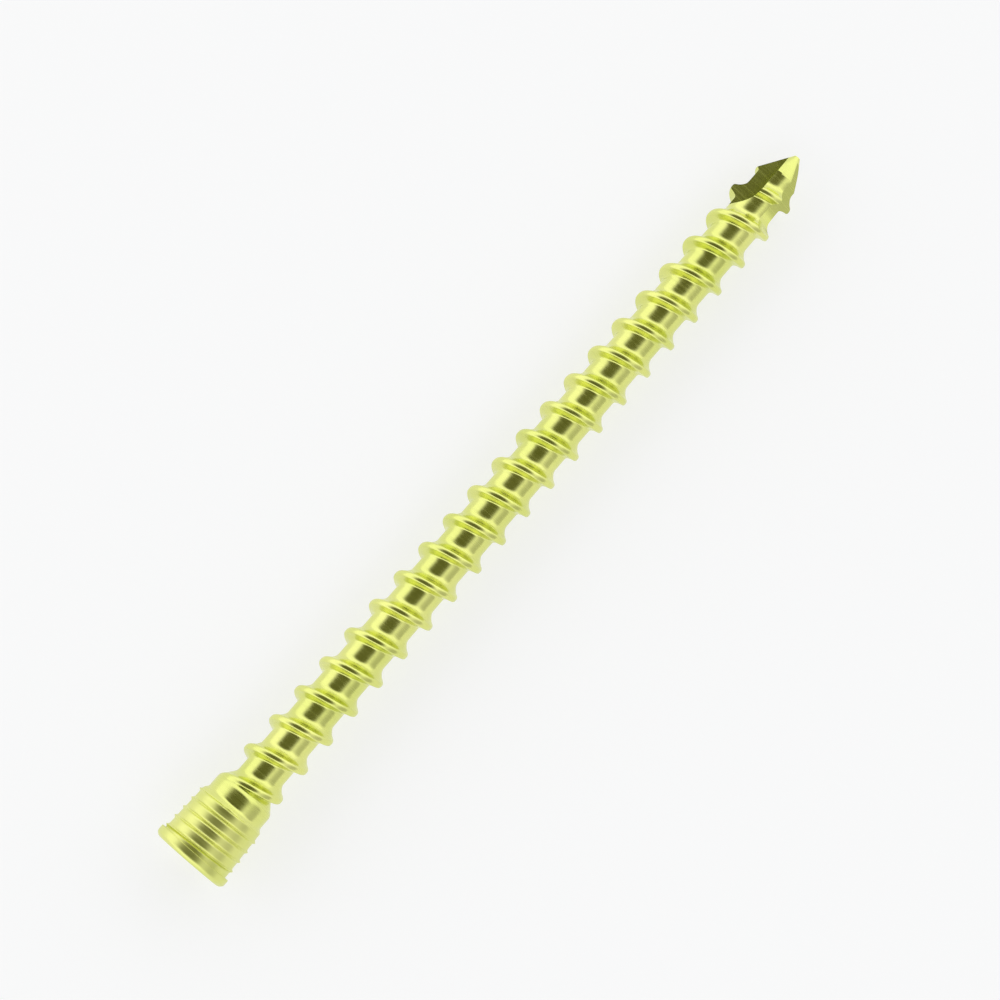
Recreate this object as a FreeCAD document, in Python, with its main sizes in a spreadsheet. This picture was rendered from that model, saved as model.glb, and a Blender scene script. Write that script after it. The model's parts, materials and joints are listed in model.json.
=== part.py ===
import FreeCAD, Part
import math
import os

import Sketcher

NODE = "locking_screw"
# Helical faces stay as they were cut: merging them with their neighbours spoils them.
MERGE_FACES = False
MERGE_TOLERANCE = 0.001

# Driving dimensions, millimetres and degrees
# Along the screw everything is measured from the flat top of the head towards the point.
SIZES = (
    ("overall_length", 40.0, "top of the head to the point"),
    ("rim_diameter", 3.6, "plain band round the top of the head"),
    ("rim_height", 0.45, "height of that band"),
    ("rim_chamfer", 0.15, "chamfer of the band's upper edge"),
    ("head_length", 2.9, "top of the head to the foot of its lower chamfer"),
    ("rim_step", 0.05, "how far the band stands out over the locking thread's crests"),
    ("lock_fall", 0.1, "fall of the locking thread's radius from the band to the head's end"),
    ("lock_depth", 0.12, "locking thread, crest to root"),
    ("underside_angle", 45.0, "chamfer of the head's lower end, against a plane across"),
    ("relief_width", 0.65, "plain neck where the locking thread ends"),
    ("neck_diameter", 2.8, "that neck, down to where it starts to taper"),
    ("neck_length", 0.6, "taper from the neck down to the core"),
    ("core_diameter", 1.85, "core under the bone thread"),
    ("thread_diameter", 2.7, "bone thread over its crests"),
    ("thread_pitch", 1.6, "bone thread, crest to crest"),
    ("first_crest", 3.1, "first crest on the side that the screw lies on"),
    ("crest_width", 0.25, "flat on the bone thread's crest"),
    ("load_flank_angle", 10.0, "steep flank, which faces the head, against a plane across"),
    ("load_foot_angle", 26.0, "the same flank where it spreads into the root"),
    ("back_flank_angle", 30.0, "gentle flank, which faces the point"),
    ("back_foot_angle", 52.0, "the same flank where it spreads into the root"),
    ("foot_height", 0.2, "height of both spread feet above the core"),
    ("thread_seat", 0.05, "depth by which the bone thread is rooted in the core"),
    ("tip_half_angle", 32.0, "cone of the point, axis to side"),
    ("tip_flat", 0.3, "diameter of the blunt end of the point"),
    ("flute_count", 3, "cutting flutes round the point"),
    ("flute_turn", 98.0, "first flute, turned from the side that the screw lies on"),
    ("flute_length", 2.4, "point to the end of a flute's straight floor"),
    ("flute_floor", 0.3, "distance of a flute's floor from the axis"),
    ("flute_runout", 1.5, "radius of the cutter that leaves the flute's end"),
    ("drive_points", 2.4, "six-lobe recess, across opposite lobes"),
    ("drive_waist", 1.75, "six-lobe recess, across opposite waists"),
    ("drive_lobe_radius", 0.19, "rounding of a lobe's end"),
    ("drive_depth", 1.6, "depth of the lobes"),
    ("drive_mouth", 0.12, "chamfer round the mouth, beyond the lobes"),
    ("bore_diameter", 1.7, "bore drilled before the lobes are formed"),
    ("bore_depth", 1.8, "depth of that bore's straight wall"),
    ("bore_half_angle", 59.0, "drill point, axis to side"),
)

document = FreeCAD.newDocument("locking_bone_screw")
sheet = document.addObject("Spreadsheet::Sheet", "sizes")
for row, (alias, value, meaning) in enumerate(SIZES, start=1):
    sheet.set(f"A{row}", meaning)
    sheet.set(f"B{row}", str(value))
    sheet.setAlias(f"B{row}", alias)
document.recompute()


def measure(expression):
    """The number that an expression of the sheet gives."""
    return float(sheet.evalExpression(expression))


# Sketches whose every corner is bound to the sheet
SKETCH_ORIGIN = -1
SKETCH_UPRIGHT = -2
START_POINT, END_POINT, CENTRE_POINT = range(1, 4)


def origin_part(body, role):
    """The origin plane or axis of the body that plays the given role."""
    return next(item for item in body.Origin.OriginFeatures if item.Role == role)


def new_sketch(body, name, role):
    """An empty sketch on one of the body's origin planes."""
    sketch = body.newObject("Sketcher::SketchObject", name)
    sketch.AttachmentSupport = (origin_part(body, role), [""])
    sketch.MapMode = "FlatFace"
    return sketch


def bind(sketch, name, kind, place, expression):
    """A dimension of the sketch that follows an expression of the sheet."""
    index = sketch.addConstraint(Sketcher.Constraint(kind, *place, measure(expression)))
    sketch.renameConstraint(index, name)
    sketch.setExpression(f"Constraints.{name}", expression)


def bind_point(sketch, name, point, across, along):
    """Holds a point of the geometry at its place across and along the sketch."""
    axes = (("DistanceX", across, SKETCH_UPRIGHT), ("DistanceY", along, SKETCH_ORIGIN))
    for kind, expression, axis in axes:
        if expression == "0":
            sketch.addConstraint(Sketcher.Constraint("PointOnObject", *point, axis))
        else:
            place = (SKETCH_ORIGIN, START_POINT, *point)
            bind(sketch, f"{name}_{kind[-1].lower()}", kind, place, expression)


def arc_between(start, end, radius, side):
    """An arc whose centre lies to the left (side 1) or right (side -1) of start to end."""
    chord = end - start
    rise = math.sqrt(radius ** 2 - (chord.Length / 2) ** 2)
    left = FreeCAD.Vector(-chord.y, chord.x, 0).normalize()
    centre = (start + end) / 2 + left * (rise * side)
    spokes = [start - centre, end - centre][::side]
    angles = [math.atan2(spoke.y, spoke.x) for spoke in spokes]
    circle = Part.Circle(centre, FreeCAD.Vector(0, 0, 1), radius)
    return Part.ArcOfCircle(circle, *angles)


def outline(sketch, corners):
    """A closed loop through the corners, each a name and its place across and along.

    A corner with two more values, a radius and a side, starts an arc instead of a line.
    """
    places = [FreeCAD.Vector(measure(corner[1]), measure(corner[2]), 0) for corner in corners]
    ends = []
    for corner, start, end in zip(corners, places, places[1:] + places[:1]):
        if len(corner) == 3:
            edge = sketch.addGeometry(Part.LineSegment(start, end), False)
            ends.append(((edge, START_POINT), (edge, END_POINT)))
            continue
        name, across, along, radius, side = corner
        edge = sketch.addGeometry(arc_between(start, end, measure(radius), side), False)
        bind(sketch, f"{name}_radius", "Radius", (edge,), radius)
        ends.append(((edge, START_POINT), (edge, END_POINT))[::side])
    for index, (start, end) in enumerate(ends):
        following = ends[(index + 1) % len(ends)][0]
        sketch.addConstraint(Sketcher.Constraint("Coincident", *end, *following))
        name, across, along = corners[index][:3]
        bind_point(sketch, name, start, across, along)


# Features
def turned(body, kind, name, corners):
    """A turned feature: the outline swept once round the screw's axis."""
    sketch = new_sketch(body, f"{name}_outline", "XZ_Plane")
    outline(sketch, corners)
    feature = body.newObject(f"PartDesign::{kind}", name)
    feature.Profile = sketch
    feature.ReferenceAxis = (sketch, ["V_Axis"])
    feature.Angle = 360
    feature.Refine = MERGE_FACES
    document.recompute()


def ridge(body, name, corners, pitch, height):
    """A right-hand thread: the outline swept along a helix round the screw's axis."""
    sketch = new_sketch(body, f"{name}_section", "XZ_Plane")
    outline(sketch, corners)
    feature = body.newObject("PartDesign::AdditiveHelix", name)
    feature.Profile = sketch
    feature.ReferenceAxis = (sketch, ["V_Axis"])
    feature.Mode = "pitch-height-angle"
    feature.HasBeenEdited = True
    feature.Tolerance = MERGE_TOLERANCE
    feature.Refine = MERGE_FACES
    feature.setExpression("Pitch", pitch)
    feature.setExpression("Height", height)
    document.recompute()


def pocket(body, name, sketch, length, reversed_side=False):
    """A cut of the sketch's outline, straight to the given length."""
    feature = body.newObject("PartDesign::Pocket", name)
    feature.Profile = sketch
    feature.Reversed = reversed_side
    feature.Refine = MERGE_FACES
    feature.setExpression("Length", length)
    document.recompute()
    return feature


body = document.addObject("PartDesign::Body", NODE)
body.Label = NODE

# Blank: head, neck and core turned in one, with stock left beyond the point
# The head tapers at the root of its locking thread, whose fine ridges aren't modelled.
LOCK_TOP = "(sizes.rim_diameter / 2 - sizes.rim_step)"
LOCK_TAPER = "(sizes.lock_fall / (sizes.head_length - sizes.rim_height))"
RELIEF_END = "(sizes.head_length + sizes.relief_width)"
LOCK_CREST_AT_RELIEF = f"({LOCK_TOP} - sizes.lock_fall - sizes.relief_width * {LOCK_TAPER})"
STOCK_END = "(sizes.overall_length + sizes.tip_flat)"
turned(body, "Revolution", "blank", (
    ("top_centre", "0", "0"),
    ("top_edge", "sizes.rim_diameter / 2 - sizes.rim_chamfer", "0"),
    ("band_top", "sizes.rim_diameter / 2", "sizes.rim_chamfer"),
    ("band_end", "sizes.rim_diameter / 2", "sizes.rim_height"),
    ("root_top", f"{LOCK_TOP} - sizes.lock_depth", "sizes.rim_height"),
    ("root_end", f"{LOCK_CREST_AT_RELIEF} - sizes.lock_depth", RELIEF_END),
    ("neck_start", "sizes.neck_diameter / 2", RELIEF_END),
    ("neck_end", "sizes.core_diameter / 2", f"{RELIEF_END} + sizes.neck_length"),
    ("stock_edge", "sizes.core_diameter / 2", STOCK_END),
    ("stock_centre", "0", STOCK_END),
))

# Bone thread: a buttress ridge that rises out of the tapered neck
# It starts one turn early, inside the head, so that no blunt end shows on the neck.
BONE_START = "(sizes.first_crest - sizes.thread_pitch)"
BONE_SEAT = "(sizes.core_diameter / 2 - sizes.thread_seat)"
BONE_CREST = "(sizes.thread_diameter / 2)"
CREST_HALF = "sizes.crest_width / 2"
FOOT_TOP = "(sizes.core_diameter / 2 + sizes.foot_height)"
FLANK_HEIGHT = f"({BONE_CREST} - {FOOT_TOP})"
FOOT_DEPTH = "(sizes.foot_height + sizes.thread_seat)"
LOAD_SIDE = f"{BONE_START} - {CREST_HALF} - {FLANK_HEIGHT} * tan(sizes.load_flank_angle)"
BACK_SIDE = f"{BONE_START} + {CREST_HALF} + {FLANK_HEIGHT} * tan(sizes.back_flank_angle)"
ridge(body, "bone_thread", (
    ("load_root", BONE_SEAT, f"{LOAD_SIDE} - {FOOT_DEPTH} * tan(sizes.load_foot_angle)"),
    ("back_root", BONE_SEAT, f"{BACK_SIDE} + {FOOT_DEPTH} * tan(sizes.back_foot_angle)"),
    ("back_foot", FOOT_TOP, BACK_SIDE),
    ("back_crest", BONE_CREST, f"{BONE_START} + {CREST_HALF}"),
    ("load_crest", BONE_CREST, f"{BONE_START} - {CREST_HALF}"),
    ("load_foot", FOOT_TOP, LOAD_SIDE),
), "sizes.thread_pitch", f"sizes.overall_length - sizes.thread_pitch - {BONE_START}")

# Plain neck that ends the locking thread, with the chamfer of the head over it
OUTSIDE = "sizes.rim_diameter"
UNDERSIDE_RUN = f"(({OUTSIDE} - sizes.neck_diameter / 2) * tan(sizes.underside_angle))"
turned(body, "Groove", "relief", (
    ("neck_top", "sizes.neck_diameter / 2", "sizes.head_length"),
    ("head_side", OUTSIDE, f"sizes.head_length - {UNDERSIDE_RUN}"),
    ("neck_side", OUTSIDE, RELIEF_END),
    ("neck_foot", "sizes.neck_diameter / 2", RELIEF_END),
))

# Cutting flutes: a radial cutting face, a flat floor and the cutter's round run-out
FLOOR_END = "(sizes.overall_length - sizes.flute_length)"
BEYOND = f"({STOCK_END} + sizes.tip_flat)"
flute_outline = new_sketch(body, "flute_outline", "XZ_Plane")
flute_outline.AttachmentOffset = FreeCAD.Placement(
    FreeCAD.Vector(), FreeCAD.Rotation(FreeCAD.Vector(0, 1, 0), measure("sizes.flute_turn")))
flute_outline.setExpression("AttachmentOffset.Rotation.Angle", "sizes.flute_turn")
outline(flute_outline, (
    ("floor_end", "sizes.flute_floor", FLOOR_END, "sizes.flute_runout", 1),
    ("runout_end", "sizes.flute_floor + sizes.flute_runout", f"{FLOOR_END} - sizes.flute_runout"),
    ("outer_side", OUTSIDE, f"{FLOOR_END} - sizes.flute_runout"),
    ("outer_end", OUTSIDE, BEYOND),
    ("floor_start", "sizes.flute_floor", BEYOND),
))
flute = pocket(body, "flute", flute_outline, OUTSIDE)
flutes = body.newObject("PartDesign::PolarPattern", "flutes")
flutes.Originals = [flute]
flutes.Axis = (origin_part(body, "Z_Axis"), [""])
flutes.Angle = 360
flutes.Refine = MERGE_FACES
flutes.setExpression("Occurrences", "sizes.flute_count")
body.Tip = flutes
document.recompute()

# Conical point with its blunt end, turned through core, thread and flutes
CONE_RUN = f"({OUTSIDE} - sizes.tip_flat / 2) / tan(sizes.tip_half_angle)"
turned(body, "Groove", "point", (
    ("tip_centre", "0", "sizes.overall_length"),
    ("tip_edge", "sizes.tip_flat / 2", "sizes.overall_length"),
    ("cone_foot", OUTSIDE, f"sizes.overall_length - {CONE_RUN}"),
    ("far_side", OUTSIDE, BEYOND),
    ("far_centre", "0", BEYOND),
))

# Drive recess: a drilled bore with a chamfered mouth, then six lobes
MOUTH = "(sizes.drive_points / 2 + sizes.drive_mouth)"
ABOVE = "sizes.rim_chamfer"
BORE = "sizes.bore_diameter / 2"
turned(body, "Groove", "drive_bore", (
    ("above_centre", "0", f"-{ABOVE}"),
    ("above_side", f"{MOUTH} + {ABOVE}", f"-{ABOVE}"),
    ("mouth_foot", BORE, f"{MOUTH} - {BORE}"),
    ("wall_foot", BORE, "sizes.bore_depth"),
    ("drill_point", "0", f"sizes.bore_depth + {BORE} / tan(sizes.bore_half_angle)"),
))

LOBES = 6
LOBE_REACH = "(sizes.drive_points / 2 - sizes.drive_lobe_radius)"
LOBE_STEP = f"(180 / {LOBES})"
WAIST = "(sizes.drive_waist / 2)"
# radius at which a waist touches both of its neighbouring lobes, by the law of cosines
WAIST_RADIUS = (
    f"(sizes.drive_lobe_radius ^ 2 - {LOBE_REACH} ^ 2 - {WAIST} ^ 2"
    f" + 2 * {LOBE_REACH} * {WAIST} * cos{LOBE_STEP})"
    f" / (2 * ({WAIST} - {LOBE_REACH} * cos{LOBE_STEP} - sizes.drive_lobe_radius))"
)


def round_centre(sketch, reach, turn, radius, middle, half):
    """An arc of the sketch whose centre lies at a distance and angle from the origin."""
    centre = FreeCAD.Vector(math.cos(turn), math.sin(turn), 0) * reach
    circle = Part.Circle(centre, FreeCAD.Vector(0, 0, 1), radius)
    return sketch.addGeometry(Part.ArcOfCircle(circle, middle - half, middle + half), False)


def six_lobe_outline(sketch):
    """Lobes bound to the sheet, each joined to the next by a tangent waist."""
    step = math.pi / LOBES
    lobe_reach = measure(LOBE_REACH)
    lobe_radius = measure("sizes.drive_lobe_radius")
    waist_radius = measure(WAIST_RADIUS)
    waist_reach = measure(WAIST) + waist_radius
    # half the angle that a waist spans round its own centre
    lean = math.atan2(lobe_reach * math.sin(step), waist_reach - lobe_reach * math.cos(step))
    edges = []
    for count in range(LOBES):
        turn = 2 * count * step
        edges.append(round_centre(sketch, lobe_reach, turn, lobe_radius, turn, step + lean))
        turn += step
        edges.append(round_centre(sketch, waist_reach, turn, waist_radius, turn + math.pi, lean))
    for count in range(LOBES):
        lobe, waist = edges[2 * count], edges[2 * count + 1]
        following = edges[(2 * count + 2) % len(edges)]
        tangent = Sketcher.Constraint("Tangent", lobe, END_POINT, waist, END_POINT)
        sketch.addConstraint(tangent)
        tangent = Sketcher.Constraint("Tangent", waist, START_POINT, following, START_POINT)
        sketch.addConstraint(tangent)
        turn = f"({count} * 2 * {LOBE_STEP})"
        along = "0" if count % (LOBES // 2) == 0 else f"{LOBE_REACH} * sin{turn}"
        bind_point(sketch, f"lobe_{count}", (lobe, CENTRE_POINT), f"{LOBE_REACH} * cos{turn}", along)
        bind(sketch, f"lobe_{count}_radius", "Radius", (lobe,), "sizes.drive_lobe_radius")
        bind(sketch, f"waist_{count}_radius", "Radius", (waist,), WAIST_RADIUS)


lobe_sketch = new_sketch(body, "six_lobe_outline", "XY_Plane")
six_lobe_outline(lobe_sketch)
before = body.Shape.Volume
pocket(body, "six_lobe_recess", lobe_sketch, "sizes.drive_depth", reversed_side=True)
if body.Shape.Volume >= before:
    raise SystemExit("the six lobes cut nothing")

# At rest the screw lies on the lower edge of its head's band and on its last full crest
rim_height = measure("sizes.rim_height")
rim_across = measure("sizes.rim_diameter / 2")
crest_across = measure(BONE_CREST)
tip_across = measure("sizes.tip_flat / 2")
cone_start = measure(
    f"sizes.overall_length - ({BONE_CREST} - sizes.tip_flat / 2) / tan(sizes.tip_half_angle)")
first_edge = measure(f"sizes.first_crest + {CREST_HALF}")
pitch = measure("sizes.thread_pitch")
last_edge = first_edge + pitch * math.floor((cone_start - first_edge) / pitch)
tilt = math.atan2(rim_across - crest_across, last_edge - rim_height)
lie = FreeCAD.Rotation(FreeCAD.Vector(0, 1, 0), 90 + math.degrees(tilt))
axis_height = rim_across * math.cos(tilt) + rim_height * math.sin(tilt)
head_reach = measure("sizes.rim_diameter / 2 - sizes.rim_chamfer") * math.sin(tilt)
tip_reach = measure("sizes.overall_length") * math.cos(tilt) + tip_across * math.sin(tilt)
body.Placement = FreeCAD.Placement(
    FreeCAD.Vector((head_reach - tip_reach) / 2, 0, axis_height), lie)
document.recompute()

for item in document.Objects:
    if {"Invalid", "Error"} & set(item.State):
        raise SystemExit(f"{item.Name} failed: {item.State}")
if body.Shape.isNull() or not body.Shape.isValid() or len(body.Shape.Solids) != 1:
    raise SystemExit(f"{NODE} isn't one valid solid")
os.makedirs("parts", exist_ok=True)
body.Shape.exportStep(f"parts/{NODE}.step")
box = body.Shape.optimalBoundingBox(True, False)
print(f"{NODE}: volume {body.Shape.Volume:.3f} mm3, faces {len(body.Shape.Faces)}")
print(f"tilt at rest {math.degrees(tilt):.3f} degrees")
print(f"box {box.XMin:.3f} {box.YMin:.3f} {box.ZMin:.4f} to {box.XMax:.3f} {box.YMax:.3f} {box.ZMax:.3f}")
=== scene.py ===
# %% [markdown]
# A locking bone screw of titanium alloy: a small tapered head with a fine locking thread and a
# six-lobe recess, a neck, a coarse bone thread and a point with three cutting flutes. The real
# one is turned from bar, its threads are whirled or ground, and it is anodised to a lime yellow.
# The construction comes in as a fixed frame. The skin that is built here lies on it.

# %% Load the construction
import json
import math

import bmesh
import bpy
from mathutils import Matrix, Vector
from mathutils.bvhtree import BVHTree

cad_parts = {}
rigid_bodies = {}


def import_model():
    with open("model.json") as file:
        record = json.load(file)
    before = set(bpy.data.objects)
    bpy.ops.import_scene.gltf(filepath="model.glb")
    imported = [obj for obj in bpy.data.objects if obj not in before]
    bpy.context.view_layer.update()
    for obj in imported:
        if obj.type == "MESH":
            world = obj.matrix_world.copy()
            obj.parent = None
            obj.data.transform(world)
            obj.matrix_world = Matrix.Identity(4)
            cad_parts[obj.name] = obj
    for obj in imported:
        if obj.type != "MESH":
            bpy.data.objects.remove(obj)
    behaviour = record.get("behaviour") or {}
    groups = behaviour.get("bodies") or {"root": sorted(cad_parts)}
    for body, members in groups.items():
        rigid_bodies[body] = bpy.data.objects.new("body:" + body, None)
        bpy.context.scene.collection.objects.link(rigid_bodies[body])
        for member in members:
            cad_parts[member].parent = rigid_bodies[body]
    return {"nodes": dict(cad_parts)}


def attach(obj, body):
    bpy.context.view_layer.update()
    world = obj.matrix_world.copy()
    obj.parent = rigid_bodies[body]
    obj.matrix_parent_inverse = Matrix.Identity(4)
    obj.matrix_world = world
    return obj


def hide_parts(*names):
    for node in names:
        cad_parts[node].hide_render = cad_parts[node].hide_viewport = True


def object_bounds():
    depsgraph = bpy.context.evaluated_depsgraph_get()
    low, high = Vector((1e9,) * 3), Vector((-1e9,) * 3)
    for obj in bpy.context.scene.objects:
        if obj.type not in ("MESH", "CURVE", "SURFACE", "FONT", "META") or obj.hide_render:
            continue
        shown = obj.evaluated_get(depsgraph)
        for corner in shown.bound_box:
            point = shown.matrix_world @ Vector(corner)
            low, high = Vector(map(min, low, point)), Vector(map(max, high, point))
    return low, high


for leftover in list(bpy.data.objects):
    bpy.data.objects.remove(leftover)
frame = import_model()

NODE = "locking_screw"
cad_low, cad_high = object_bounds()
print("construction box, mm:", [round(side * 1000, 3) for side in cad_high - cad_low])

# %% [markdown]
# Everything along the screw is measured in millimetres from the flat top of the head towards the
# point, so a size can be set against a drawing. Only the finished mesh is turned to metres.

# %% Real sizes, millimetres and degrees
LENGTH = 40.0
RIM_RADIUS, RIM_HEIGHT, RIM_CHAMFER = 1.8, 0.45, 0.15
HEAD_LENGTH, UNDERSIDE_ANGLE = 2.9, 45
LOCK_TOP_RADIUS, LOCK_END_RADIUS = 1.75, 1.65
LOCK_PITCH, LOCK_DEPTH, LOCK_FLANK_ANGLE = 0.5, 0.12, 30
RELIEF_END = 3.55
NECK_RADIUS, NECK_LENGTH = 1.4, 0.6
CORE_RADIUS, CREST_RADIUS = 0.925, 1.35
THREAD_PITCH, FIRST_CREST, CREST_WIDTH = 1.6, 3.1, 0.25
LOAD_FLANK_ANGLE, LOAD_FOOT_ANGLE = 10, 26
BACK_FLANK_ANGLE, BACK_FOOT_ANGLE = 30, 52
FOOT_HEIGHT = 0.2
TIP_HALF_ANGLE, TIP_FLAT_RADIUS = 32, 0.15
FLUTES, FLUTE_TURN, FLUTE_LENGTH, FLUTE_FLOOR, FLUTE_RUNOUT = 3, 98, 2.4, 0.3, 1.5
LOBES, DRIVE_RADIUS, DRIVE_WAIST, LOBE_RADIUS, DRIVE_DEPTH = 6, 1.2, 0.875, 0.19, 1.6
MOUTH_RADIUS, BORE_RADIUS, BORE_DEPTH, BORE_HALF_ANGLE = 1.32, 0.85, 1.8, 59
print("length, head and thread, mm:", LENGTH, 2 * RIM_RADIUS, 2 * CREST_RADIUS)


def tangent(degrees):
    """The tangent of an angle in degrees."""
    return math.tan(math.radians(degrees))


# %% [markdown]
# The screw lies on the lower edge of its head's band and on its last full crest, so its axis
# dips a little towards the point. One matrix takes a point from the screw's own frame, in
# millimetres, to the place where the construction lies, in metres.

# %% The screw's own frame at rest
cone_start = LENGTH - (CREST_RADIUS - TIP_FLAT_RADIUS) / tangent(TIP_HALF_ANGLE)
first_edge = FIRST_CREST + CREST_WIDTH / 2
last_edge = first_edge + THREAD_PITCH * math.floor((cone_start - first_edge) / THREAD_PITCH)
tilt = math.atan2(RIM_RADIUS - CREST_RADIUS, last_edge - RIM_HEIGHT)
head_reach = (RIM_RADIUS - RIM_CHAMFER) * math.sin(tilt)
tip_reach = LENGTH * math.cos(tilt) + TIP_FLAT_RADIUS * math.sin(tilt)
axis_height = RIM_RADIUS * math.cos(tilt) + RIM_HEIGHT * math.sin(tilt)
lie = Matrix.Rotation(math.radians(90) + tilt, 4, "Y")
place = Matrix.Translation(((head_reach - tip_reach) / 2, 0, axis_height))
to_metres = Matrix.Scale(0.001, 4)
rest = to_metres @ place @ lie
print("tilt at rest, degrees:", round(math.degrees(tilt), 3))

# %% [markdown]
# A thread could be one profile swept by the Screw modifier, but then its ridge would have to be
# joined to the neck that it grows out of. Here the whole skin is one grid instead. It has columns
# round the axis, and in each column the rows slide along by the share of a pitch that belongs
# to that turn, so the rows follow the helix and crest and root stay crisp. Where the helix runs
# past an end, its points pile up there and are welded.
#
# A turned part has no perfectly sharp corner. Bevels would work on finished edges. Here the
# corners are rounded in the outline, before it becomes a mesh, which is exact and costs little.

# %% Soft corners


def softened(corners, steps):
    """The line through the corners, each (along, radius, reach), with each corner drawn soft.

    The reach is how far from the corner the rounding starts, on both sides.
    """
    line = []
    for index, (along, radius, reach) in enumerate(corners):
        corner = Vector((along, radius))
        if not reach:
            line.append(corner)
            continue
        before = Vector(corners[index - 1][:2]) - corner
        after = Vector(corners[index + 1][:2]) - corner
        start = corner + before.normalized() * reach
        end = corner + after.normalized() * reach
        for step in range(steps + 1):
            share = step / steps
            near = start.lerp(corner, share)
            far = corner.lerp(end, share)
            line.append(near.lerp(far, share))
    return line


def soft_max(first, second, reach):
    """The larger of two radii, with a fillet where they are about equal."""
    overlap = max(reach - abs(first - second), 0) / reach
    return max(first, second) + overlap ** 2 * reach / 4


print("two equal radii of 1, joined softly over 0.1:", soft_max(1, 1, 0.1))

# %% [markdown]
# One column of a thread is its section, set down at crest after crest. Where the column starts
# and ends, the crests that reach past the end are held at it, and the section is read off at the
# place of the end, so that the thread is cut there as if by a plane.

# %% One column of a thread
FINE_STEP, FINE_TURNS = 0.05, 4


def height(section, offset):
    """The section's radius at an offset from the crest, between its two nearest points."""
    for (near, inner), (far, outer) in zip(section, section[1:]):
        if near <= offset <= far:
            return inner + (outer - inner) * (offset - near) / (far - near)
    return section[0][1]


def refined(section):
    """The section with more points, none farther from the next than the fine step."""
    line = []
    for near, far in zip(section, section[1:]):
        count = math.ceil((far[0] - near[0]) / FINE_STEP)
        line += [near.lerp(far, step / count) for step in range(count)]
    return line + [section[-1]]


def helical(section, first, pitch, low, high, turn):
    """One column of a thread: its section at every crest, held between two places along.

    The first turns have more rows, since they meet the shapes that the thread rises from.
    """
    begin = section[0][0]
    start = first + pitch * (math.floor((low - first) / pitch) - 1)
    column = []
    for number in range(math.ceil((high - low) / pitch) + 3):
        crest = start + pitch * (number + turn)
        for offset, radius in refined(section) if number < FINE_TURNS else section:
            along = min(max(crest + offset, low), high)
            if along in (low, high):
                radius = height(section, (along - crest - begin) % pitch + begin)
            column.append((along, radius))
    return column


print("finest step along the first turns, mm:", FINE_STEP)

# %% [markdown]
# The mesh is made point by point with bmesh, as the columns stand side by side with a face
# between each four points. The first and the last column lie on the same place, as do all the
# points on the axis, so points that fall together are welded.

# %% Columns to a mesh
COLUMNS = 96
WELD = 0.0001


def skin(column_at):
    """A mesh from the column of (along, radius) points at each share of a turn."""
    made = bmesh.new()
    rings = []
    for number in range(COLUMNS + 1):
        turn = number / COLUMNS
        cos, sin = math.cos(turn * math.tau), math.sin(turn * math.tau)
        points = column_at(turn)
        rings.append([made.verts.new((r * cos, r * sin, along)) for along, r in points])
    for left, right in zip(rings, rings[1:]):
        for corners in zip(left, right, right[1:], left[1:]):
            made.faces.new(corners)
    bmesh.ops.remove_doubles(made, verts=made.verts, dist=WELD)
    return made


def as_object(made, name):
    """The mesh as an object of the scene."""
    mesh = bpy.data.meshes.new(name)
    made.to_mesh(mesh)
    made.free()
    piece = bpy.data.objects.new(name, mesh)
    bpy.context.scene.collection.objects.link(piece)
    return piece


print("columns round the axis:", COLUMNS)

# %% [markdown]
# The bone thread is a buttress: its steep flank faces the head and holds against pull-out, and
# its gentle flank faces the point. Cutters leave a narrow flat crest with a broken edge and a
# root that is round on both sides. The fine locking thread of the head is a plain V on a taper.
# Its ridges are only a tenth of a millimetre high. The construction lacks them, since its head
# ends at their root, so they are made here alone.

# %% Sections of both threads
ROUNDING_STEPS = 4
LOAD_ROUNDING, CREST_ROUNDING, BACK_ROUNDING, ROOT_ROUNDING = 0.09, 0.1, 0.11, 0.14
LOCK_ROUNDING, LOCK_STEPS = 0.065, 3


def bone_section():
    """One pitch of the bone thread, from the middle of a root to the middle of the next."""
    foot = CORE_RADIUS + FOOT_HEIGHT
    load_side = -CREST_WIDTH / 2 - (CREST_RADIUS - foot) * tangent(LOAD_FLANK_ANGLE)
    back_side = CREST_WIDTH / 2 + (CREST_RADIUS - foot) * tangent(BACK_FLANK_ANGLE)
    load_root = load_side - FOOT_HEIGHT * tangent(LOAD_FOOT_ANGLE)
    back_root = back_side + FOOT_HEIGHT * tangent(BACK_FOOT_ANGLE)
    root_middle = (back_root + load_root + THREAD_PITCH) / 2
    flat_end = (root_middle + back_root) / 2
    flat_start = (load_root + root_middle - THREAD_PITCH) / 2
    return softened((
        (root_middle - THREAD_PITCH, CORE_RADIUS, 0),
        (flat_start, CORE_RADIUS, 0),
        (load_root, CORE_RADIUS, LOAD_ROUNDING),
        (load_side, foot, LOAD_ROUNDING),
        (-CREST_WIDTH / 2, CREST_RADIUS, CREST_ROUNDING),
        (CREST_WIDTH / 2, CREST_RADIUS, CREST_ROUNDING),
        (back_side, foot, BACK_ROUNDING),
        (back_root, CORE_RADIUS, ROOT_ROUNDING),
        (flat_end, CORE_RADIUS, 0),
        (root_middle, CORE_RADIUS, 0),
    ), ROUNDING_STEPS)


def lock_section():
    """One pitch of the locking thread, as its height below the crest."""
    half = LOCK_DEPTH * tangent(LOCK_FLANK_ANGLE)
    return softened((
        (-LOCK_PITCH / 2, -LOCK_DEPTH, 0),
        (-half, -LOCK_DEPTH, LOCK_ROUNDING),
        (0, 0, LOCK_ROUNDING),
        (half, -LOCK_DEPTH, LOCK_ROUNDING),
        (LOCK_PITCH / 2, -LOCK_DEPTH, 0),
    ), LOCK_STEPS)


bone, lock = bone_section(), lock_section()
print("points in one pitch: bone thread", len(bone), "and locking thread", len(lock))

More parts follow.
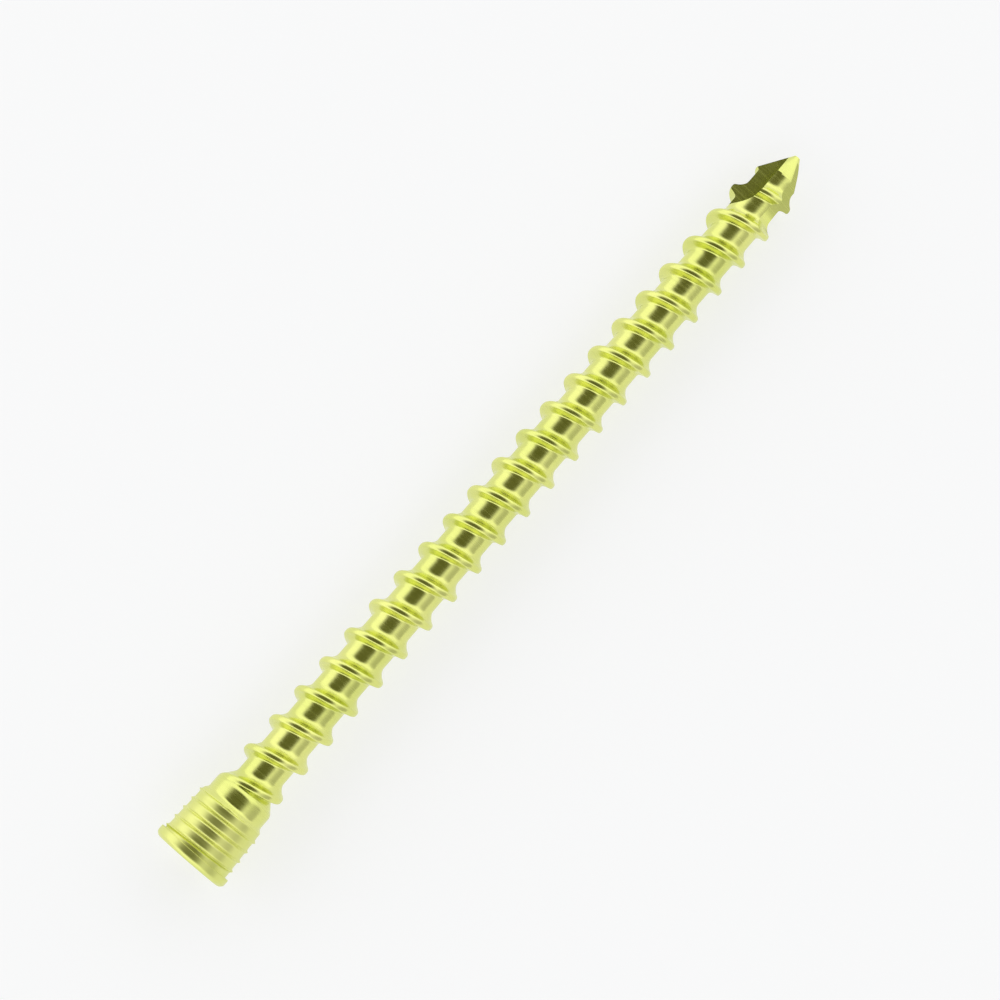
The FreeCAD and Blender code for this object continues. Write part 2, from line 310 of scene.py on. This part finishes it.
# %% [markdown]
# The column puts the parts in order: top, chamfered band, locking thread on its taper, the
# chamfer under the head, plain neck, and the bone thread. The thread is there from the start,
# and a soft maximum of it and the tapered neck lets it rise out of the metal turn by turn. The
# bar is left a little too long at the point, to be cut to its cone afterwards.

# %% Skin of the whole screw
TOP_RING, RIM_ROUNDING, RIM_EDGE_ROUNDING = 1.0, 0.08, 0.02
NECK_FILLET = 0.08
LOCK_SEAT, STOCK_LEFT = 0.05, 0.3
LOCK_TAPER = (LOCK_TOP_RADIUS - LOCK_END_RADIUS) / (HEAD_LENGTH - RIM_HEIGHT)
NECK_TAPER = (NECK_RADIUS - CORE_RADIUS) / NECK_LENGTH
STOCK_END = LENGTH + STOCK_LEFT
lock_crest = RELIEF_END - (LOCK_DEPTH + LOCK_SEAT) * tangent(LOCK_FLANK_ANGLE)


def column_at(turn):
    """All the points of the screw's outline at one share of a turn."""
    column = [(0, 0)] + [tuple(point) for point in softened((
        (0, TOP_RING, 0),
        (0, RIM_RADIUS - RIM_CHAMFER, RIM_ROUNDING),
        (RIM_CHAMFER, RIM_RADIUS, RIM_ROUNDING),
        (RIM_HEIGHT, RIM_RADIUS, RIM_EDGE_ROUNDING),
        (RIM_HEIGHT, LOCK_TOP_RADIUS, 0),
    ), ROUNDING_STEPS)]
    for along, depth in helical(lock, lock_crest, LOCK_PITCH,
                                RIM_HEIGHT, HEAD_LENGTH - NECK_FILLET, turn):
        taper = LOCK_TOP_RADIUS - (along - RIM_HEIGHT) * LOCK_TAPER
        underside = NECK_RADIUS + (HEAD_LENGTH - along) / tangent(UNDERSIDE_ANGLE)
        column.append((along, min(taper + depth, underside)))
    column += [tuple(point) for point in softened((
        (HEAD_LENGTH - NECK_FILLET, NECK_RADIUS + NECK_FILLET / tangent(UNDERSIDE_ANGLE), 0),
        (HEAD_LENGTH, NECK_RADIUS, NECK_FILLET),
        (HEAD_LENGTH + 2 * NECK_FILLET, NECK_RADIUS, 0),
    ), ROUNDING_STEPS)[1:-1]]
    for along, radius in helical(bone, FIRST_CREST, THREAD_PITCH,
                                 HEAD_LENGTH + 2 * NECK_FILLET, STOCK_END, turn):
        cone = NECK_RADIUS - (along - RELIEF_END) * NECK_TAPER
        neck = -soft_max(-NECK_RADIUS, -cone, NECK_FILLET)
        column.append((along, soft_max(radius, neck, NECK_FILLET)))
    return column + [(STOCK_END, 0)]


screw = as_object(skin(column_at), "titanium_screw")
print("faces before cutting:", len(screw.data.polygons))

# %% [markdown]
# The point, the flutes and the recess are made by taking a cutter's shape away from the skin.
# The exact solver keeps every edge of the cut sharp, as a ground one is. There are two kinds of
# cutter, one turned about the axis and one with straight sides.

# %% Cutters
CLEAR, OVERRUN = 2 * RIM_RADIUS, 0.2
ARC_STEPS = 10


def turned(outline, name):
    """A solid of revolution through (along, radius) points, closed on the axis."""
    return as_object(skin(lambda turn: outline), name)


def prism(outline, depth, name):
    """A straight solid: the (x, z) outline carried along +y."""
    made = bmesh.new()
    near = [made.verts.new((x, 0, z)) for x, z in outline]
    far = [made.verts.new((x, depth, z)) for x, z in outline]
    made.faces.new(near)
    made.faces.new(far[::-1])
    for index in range(len(outline)):
        following = (index + 1) % len(outline)
        made.faces.new((near[following], near[index], far[index], far[following]))
    bmesh.ops.recalc_face_normals(made, faces=made.faces)
    return as_object(made, name)


def cut(piece, cutter):
    """Takes the cutter's shape away from the piece, and the cutter out of the scene."""
    change = piece.modifiers.new(cutter.name, "BOOLEAN")
    change.operation = "DIFFERENCE"
    change.solver = "EXACT"
    change.object = cutter
    bpy.context.view_layer.update()
    shaped = bpy.data.meshes.new_from_object(
        piece.evaluated_get(bpy.context.evaluated_depsgraph_get()))
    piece.modifiers.clear()
    piece.data = shaped
    print(f"after {cutter.name}: {len(shaped.polygons)} faces")
    bpy.data.objects.remove(cutter)


def polar(radius, degrees):
    """The point at a radius and an angle in degrees."""
    angle = math.radians(degrees)
    return radius * math.cos(angle), radius * math.sin(angle)


def arc(centre, radius, start, end):
    """Points of an arc about a centre, from one angle in degrees to another."""
    points = []
    for step in range(ARC_STEPS + 1):
        x, z = polar(radius, start + (end - start) * step / ARC_STEPS)
        points.append((centre[0] + x, centre[1] + z))
    return points


print("a quarter arc has", len(arc((0, 0), 1, 0, 90)), "points")

# %% [markdown]
# The point is turned to a cone with a small blunt end, which takes off the bar's last bit and
# the thread's last crests with it.

# %% Turn the point
cone_run = (CLEAR - TIP_FLAT_RADIUS) / tangent(TIP_HALF_ANGLE)
beyond = STOCK_END + OVERRUN
cut(screw, turned((
    (LENGTH, 0),
    (LENGTH, TIP_FLAT_RADIUS),
    (LENGTH - cone_run, CLEAR),
    (beyond, CLEAR),
    (beyond, 0),
), "point"))

# %% [markdown]
# Three flutes make the point self-tapping. A round cutter mills each: it runs straight along the
# screw at a set height over the axis and leaves the metal on its own radius. One fault is left
# here: the third flute, which faces down, comes out of the solver without its faces.

# %% Mill the flutes
floor_end = LENGTH - FLUTE_LENGTH
for number in range(FLUTES):
    runout = arc((FLUTE_FLOOR + FLUTE_RUNOUT, floor_end), FLUTE_RUNOUT, 180, 270)
    sides = [(CLEAR, floor_end - FLUTE_RUNOUT), (CLEAR, beyond), (FLUTE_FLOOR, beyond)]
    flute = prism(runout + sides, CLEAR, f"flute_{number + 1}")
    turn = math.radians(FLUTE_TURN + number * 360 / FLUTES)
    flute.data.transform(Matrix.Rotation(turn, 4, "Z"))
    cut(screw, flute)

# %% [markdown]
# The recess starts as a drilled bore with a chamfered mouth, and a punch then presses the lobes
# into its wall. The drill leaves a cone at the bottom, of which a small ring is drawn as well,
# so that the shading there stays that of a cone.

# %% Drill the bore and press the lobes
above = RIM_CHAMFER
CHISEL = 0.05
cut(screw, turned((
    (-above, 0),
    (-above, MOUTH_RADIUS + above),
    (MOUTH_RADIUS - BORE_RADIUS, BORE_RADIUS),
    (BORE_DEPTH, BORE_RADIUS),
    (BORE_DEPTH + (BORE_RADIUS - CHISEL) / tangent(BORE_HALF_ANGLE), CHISEL),
    (BORE_DEPTH + BORE_RADIUS / tangent(BORE_HALF_ANGLE), 0),
), "drive_bore"))


def six_lobe():
    """Outline of the recess: round lobes, each joined to the next by a tangent waist.

    The waist's radius and the angle at which the two arcs meet follow from their touching.
    """
    step = math.pi / LOBES
    reach = DRIVE_RADIUS - LOBE_RADIUS
    straight = DRIVE_WAIST - reach * math.cos(step)
    waist = ((LOBE_RADIUS ** 2 - reach ** 2 - DRIVE_WAIST ** 2
              + 2 * reach * DRIVE_WAIST * math.cos(step)) / (2 * (straight - LOBE_RADIUS)))
    lean = math.degrees(math.atan2(reach * math.sin(step), straight + waist))
    outline = []
    for number in range(LOBES):
        turn = number * 360 / LOBES
        half = turn + 180 / LOBES
        spread = 180 / LOBES + lean
        lobe = arc(polar(reach, turn), LOBE_RADIUS, turn - spread, turn + spread)
        hollow = arc(polar(DRIVE_WAIST + waist, half), waist, half + 180 + lean, half + 180 - lean)
        outline += lobe[:-1] + hollow[:-1]
    return outline


recess = prism(six_lobe(), DRIVE_DEPTH + above, "six_lobe_recess")
upright = Matrix.Rotation(math.radians(90), 4, "X")
recess.data.transform(Matrix.Translation((0, 0, -above)) @ upright)
cut(screw, recess)

# %% [markdown]
# The cut skin goes to its place and is set against the construction, by the distance of each of
# its points from the solid's surface. Two things stand off it: the ridges of the locking thread,
# and the last turn of the bone thread, which the construction ends a little sooner.

# %% Lay the skin on the construction
SHARP_ANGLE = 32

screw.data.transform(rest)
screw.data.shade_smooth()
screw.data.set_sharp_from_angle(angle=math.radians(SHARP_ANGLE))
solid = frame["nodes"][NODE]
surface = BVHTree.FromObject(solid, bpy.context.evaluated_depsgraph_get())
gaps = [surface.find_nearest(vertex.co)[3] for vertex in screw.data.vertices]
print("skin to solid, mm: mean", round(sum(gaps) / len(gaps) * 1000, 4),
      "farthest", round(max(gaps) * 1000, 4))
triangles = sum(len(face.vertices) - 2 for face in screw.data.polygons)
print("triangles:", triangles)

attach(screw, "root")
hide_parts(NODE)

# %% [markdown]
# A colour is written as the sRGB hex that a colour picker shows, and one function turns it to
# the linear values that the shader works in. One more function adds a node, sets what is given
# and links what is passed as another node's output.

# %% Helpers for materials


def linear(hex_colour):
    """Linear RGBA of an sRGB hex colour."""
    levels = [int(hex_colour[place:place + 2], 16) / 255 for place in (1, 3, 5)]
    return [c / 12.92 if c <= 0.04045 else ((c + 0.055) / 1.055) ** 2.4 for c in levels] + [1]


def add(tree, kind, inputs=(), **settings):
    """One node of the tree with its settings and links."""
    node = tree.nodes.new(kind)
    for name, value in settings.items():
        setattr(node, name, value)
    for socket, value in dict(inputs).items():
        if isinstance(value, bpy.types.NodeSocket):
            tree.links.new(value, node.inputs[socket])
        else:
            node.inputs[socket].default_value = value
    return node


def new_material(name):
    """An empty material and its node tree."""
    material = bpy.data.materials.new(name)
    material.use_nodes = True
    material.node_tree.nodes.clear()
    return material, material.node_tree


print("lime yellow, linear:", [round(level, 3) for level in linear("#E2E787")])

# %% [markdown]
# Anodised titanium (Ti-6Al-4V, turned and polished, then anodised): the colour is no dye but
# light that interferes in a clear oxide film, so it stays a metal, with a coloured mirror image.
# The film is a little uneven, which shifts the yellow towards green or gold by a shade. The tool
# leaves fine rings, about one for each 0.05 mm of feed, drawn at 0.12 mm so that they show. The
# bone thread is polished brighter than the small locking thread, whose roots no wheel reaches.
# The patterns are laid out in millimetres along the screw's own tilted axis.

# %% Anodised titanium, turned
RING_SPACING, RING_STRETCH, RING_HEIGHT = 0.12, 0.12, 0.0025
RING_DETAIL, RING_GRAIN, FILM_DETAIL, FILM_GRAIN = 3, 0.55, 3, 0.5
NOISE_LOW, NOISE_HIGH = 0.3, 0.7
FILM_PATCH = 2.5
SHAFT_ROUGHNESS, HEAD_ROUGHNESS, RING_ROUGHNESS = 0.24, 0.36, 0.06
HEAD_FADE = 0.3
head_end = HEAD_LENGTH - (tip_reach - head_reach) / 2


def anodised_titanium():
    """The lime-yellow oxide film on a turned and polished metal."""
    material, tree = new_material("anodised_titanium_turned")
    coordinates = add(tree, "ShaderNodeTexCoord")
    millimetres = add(tree, "ShaderNodeMapping", {
        "Vector": coordinates.outputs["Object"],
        "Rotation": (0, -tilt, 0),
        "Scale": (1000, 1000, 1000),
    })
    rings_stretch = add(tree, "ShaderNodeMapping", {
        "Vector": millimetres.outputs["Vector"],
        "Scale": (1 / RING_SPACING, RING_STRETCH, RING_STRETCH),
    })
    rings = add(tree, "ShaderNodeTexNoise", {
        "Vector": rings_stretch.outputs["Vector"], "Scale": 1,
        "Detail": RING_DETAIL, "Roughness": RING_GRAIN,
    })
    film = add(tree, "ShaderNodeTexNoise", {
        "Vector": millimetres.outputs["Vector"], "Scale": 1 / FILM_PATCH,
        "Detail": FILM_DETAIL, "Roughness": FILM_GRAIN,
    })
    film_colour = add(tree, "ShaderNodeValToRGB", {"Fac": film.outputs["Fac"]})
    film_colour.color_ramp.elements[0].position = NOISE_LOW
    film_colour.color_ramp.elements[0].color = linear("#DDE480")
    film_colour.color_ramp.elements[1].position = NOISE_HIGH
    film_colour.color_ramp.elements[1].color = linear("#E7EA8E")
    along = add(tree, "ShaderNodeSeparateXYZ", {"Vector": millimetres.outputs["Vector"]})
    head_side = add(tree, "ShaderNodeMapRange", {
        "Value": along.outputs["X"], "From Min": head_end - HEAD_FADE, "From Max": head_end,
        "To Min": HEAD_ROUGHNESS - SHAFT_ROUGHNESS, "To Max": 0,
    })
    spread = add(tree, "ShaderNodeMapRange", {
        "Value": rings.outputs["Fac"], "From Min": NOISE_LOW, "From Max": NOISE_HIGH,
        "To Min": SHAFT_ROUGHNESS - RING_ROUGHNESS, "To Max": SHAFT_ROUGHNESS + RING_ROUGHNESS,
    })
    polish = add(tree, "ShaderNodeMath", {
        0: spread.outputs["Result"], 1: head_side.outputs["Result"],
    }, operation="ADD")
    bump = add(tree, "ShaderNodeBump", {
        "Height": rings.outputs["Fac"], "Strength": 1, "Distance": RING_HEIGHT / 1000,
    })
    metal = add(tree, "ShaderNodeBsdfPrincipled", {
        "Base Color": film_colour.outputs["Color"],
        "Metallic": 1,
        "Roughness": polish.outputs["Value"],
        "Normal": bump.outputs["Normal"],
    })
    add(tree, "ShaderNodeOutputMaterial", {"Surface": metal.outputs["BSDF"]})
    return material


screw.data.materials.clear()
screw.data.materials.append(anodised_titanium())
print("finish:", screw.data.materials[0].name)

# %% [markdown]
# The screw lies on a sheet of white paper. Paper that is lit no more than the screw would come
# out pale grey, and a stronger light would wash the screw out. So the paper adds a little light
# of its own where the camera or a mirror image shows it, and its shadow stays.

# %% Table
FLOOR_SIZE = 1.2
FLOOR_LIFT = 0.65


def table_finish():
    """Matt white paper, lifted to white where the camera or a mirror image shows it."""
    material, tree = new_material("matt_white_paper")
    paper = add(tree, "ShaderNodeBsdfDiffuse", {"Color": linear("#EBECEE")})
    shaded = add(tree, "ShaderNodeBsdfDiffuse", {"Color": linear("#A9AAAD")})
    lift = add(tree, "ShaderNodeEmission", {"Color": linear("#FFFFFF"), "Strength": FLOOR_LIFT})
    both = add(tree, "ShaderNodeAddShader")
    tree.links.new(shaded.outputs["BSDF"], both.inputs[0])
    tree.links.new(lift.outputs["Emission"], both.inputs[1])
    path = add(tree, "ShaderNodeLightPath")
    seen = add(tree, "ShaderNodeMath", {
        0: path.outputs["Is Camera Ray"], 1: path.outputs["Is Glossy Ray"],
    }, operation="MAXIMUM")
    mix = add(tree, "ShaderNodeMixShader", {"Fac": seen.outputs["Value"]})
    tree.links.new(paper.outputs["BSDF"], mix.inputs[1])
    tree.links.new(both.outputs["Shader"], mix.inputs[2])
    add(tree, "ShaderNodeOutputMaterial", {"Surface": mix.outputs["Shader"]})
    return material


def table():
    """A wide flat sheet whose top is the surface that the screw lies on."""
    made = bmesh.new()
    half = FLOOR_SIZE / 2
    corners = ((-half, -half), (half, -half), (half, half), (-half, half))
    made.faces.new([made.verts.new((x, y, cad_low.z)) for x, y in corners])
    piece = as_object(made, "table")
    piece.data.materials.append(table_finish())
    return piece


table()
print("table, m:", FLOOR_SIZE, "square, at height", round(cad_low.z, 6))

# %% [markdown]
# The set is a tent of white cloth, which lights the screw evenly from all sides. At the top,
# where the picture is taken, the tent is open, and the room behind is dark. A polished rod
# mirrors that opening as a dark line along its middle, and a thread breaks the line into one
# dark spot in each root, which is how the photograph draws this screw. Lamps could do it too,
# but each would leave its own hot spot on every crest, so the world's own shader is the tent.
# It is dimmer low on one side, and the little light in the opening is tinted, so that the dark
# spots stay olive.

# %% Light tent
OPENING = (0, 0.08, 0.997)
OPENING_HALF_ANGLE, OPENING_EDGE, OPENING_LIGHT = 38, 12, 0.12
TINT_END = 0.3
TENT_LEFT, TENT_RIGHT = 1.26, 0.55
SLOPE_START, SLOPE_END = -0.95, -0.5

world = bpy.data.worlds.new("light_tent")
bpy.context.scene.world = world
world.use_nodes = True
tent = world.node_tree
tent.nodes.clear()
direction = add(tent, "ShaderNodeTexCoord").outputs["Generated"]
towards_opening = add(tent, "ShaderNodeVectorMath", {0: direction, 1: OPENING},
                      operation="DOT_PRODUCT")
cloth = add(tent, "ShaderNodeMapRange", {
    "Value": towards_opening.outputs["Value"],
    "From Min": math.cos(math.radians(OPENING_HALF_ANGLE - OPENING_EDGE)),
    "From Max": math.cos(math.radians(OPENING_HALF_ANGLE + OPENING_EDGE)),
    "To Min": OPENING_LIGHT, "To Max": 1,
}, interpolation_type="SMOOTHSTEP")
tint = add(tent, "ShaderNodeValToRGB", {"Fac": cloth.outputs["Result"]})
tint.color_ramp.elements[0].position = OPENING_LIGHT
tint.color_ramp.elements[0].color = linear("#E4E496")
tint.color_ramp.elements[1].position = TINT_END
tint.color_ramp.elements[1].color = linear("#FFFFFF")
sideways = add(tent, "ShaderNodeSeparateXYZ", {"Vector": direction})
slope = add(tent, "ShaderNodeMapRange", {
    "Value": sideways.outputs["Y"], "From Min": SLOPE_START, "From Max": SLOPE_END,
    "To Min": TENT_RIGHT, "To Max": TENT_LEFT,
}, interpolation_type="SMOOTHSTEP")
level = add(tent, "ShaderNodeMath", {0: cloth.outputs["Result"], 1: slope.outputs["Result"]},
            operation="MULTIPLY")
inside = add(tent, "ShaderNodeBackground", {
    "Color": tint.outputs["Color"], "Strength": level.outputs["Value"],
})
backdrop = add(tent, "ShaderNodeBackground", {"Color": linear("#FFFFFF"), "Strength": 1})
path = add(tent, "ShaderNodeLightPath")
choice = add(tent, "ShaderNodeMixShader", {"Fac": path.outputs["Is Camera Ray"]})
tent.links.new(inside.outputs["Background"], choice.inputs[1])
tent.links.new(backdrop.outputs["Background"], choice.inputs[2])
add(tent, "ShaderNodeOutputWorld", {"Surface": choice.outputs["Shader"]})
print("tent: light", TENT_LEFT, "and in the opening", round(TENT_LEFT * OPENING_LIGHT, 3))

# %% [markdown]
# The photograph looks down at about 80 degrees, nearly square to the screw, with the head at the
# lower left and the point at the upper right. A long lens keeps both ends about the same size.

# %% Camera
CAMERA_ELEVATION, CAMERA_AZIMUTH = 80, -49.6
LENS, SENSOR = 100, 36
VIEW_WIDTH = 0.0425

camera_data = bpy.data.cameras.new("camera")
camera_data.lens = LENS
camera_data.sensor_width = SENSOR
camera_data.clip_start, camera_data.clip_end = 0.01, 10
camera = bpy.data.objects.new("camera", camera_data)
bpy.context.scene.collection.objects.link(camera)
bpy.context.scene.camera = camera
azimuth, elevation = math.radians(CAMERA_AZIMUTH), math.radians(CAMERA_ELEVATION)
back = Vector((
    math.sin(azimuth) * math.cos(elevation),
    -math.cos(azimuth) * math.cos(elevation),
    math.sin(elevation),
))
middle = (cad_low + cad_high) / 2
camera.location = middle + back * (VIEW_WIDTH * LENS / SENSOR)
camera.rotation_mode = "QUATERNION"
camera.rotation_quaternion = (-back).to_track_quat("-Z", "Y")
bpy.context.scene.view_settings.view_transform = "Standard"
print("camera stands", round((camera.location - middle).length * 1000), "mm from the screw")

# %% [markdown]
# At the end the scene is brought up to date.

# %% Bring the scene up to date
bpy.context.view_layer.update()
